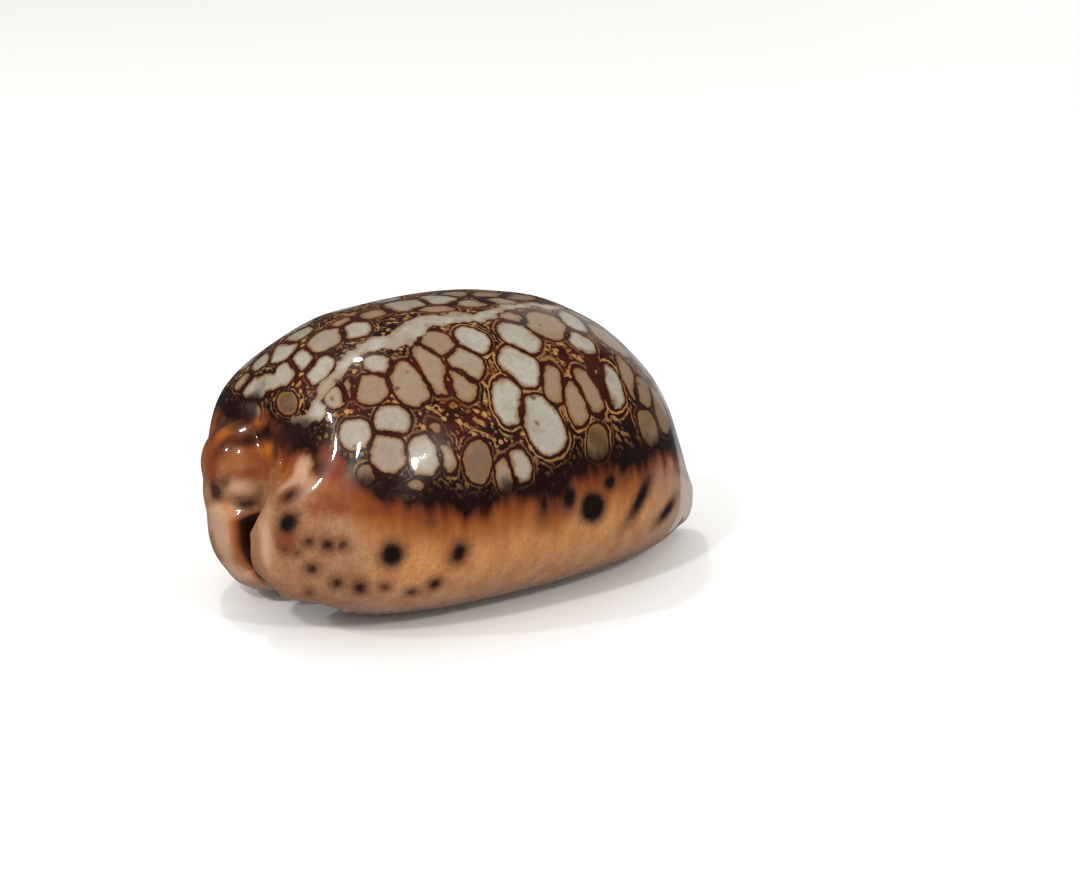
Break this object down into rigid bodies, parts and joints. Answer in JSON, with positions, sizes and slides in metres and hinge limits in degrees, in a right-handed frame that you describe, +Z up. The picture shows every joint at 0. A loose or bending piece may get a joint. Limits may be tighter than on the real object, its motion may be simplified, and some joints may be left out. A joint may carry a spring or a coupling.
{
  "type": "cowrie shell",
  "caption": "Glossy egg-shaped sea shell with a domed back, thick rounded margins, a toothed slit along its flat base and a notch at each end",
  "frame": {"origin": "On the surface the shell stands on, under the middle of its length and width", "axes": "+X to the anterior end, -X to the posterior end where the spire is buried, -Y to the outer lip's side, +Y to the columella's side, +Z up from the toothed base to the back"},
  "size_m": [0.0693, 0.0458, 0.0374],
  "materials": {
    "glossy_shell": "polished natural enamel, dark brown net over pale cells on the back, tan spotted margins"
  },
  "bodies": {
    "root": {"shell": "glossy_shell"}
  },
  "joints": []
}
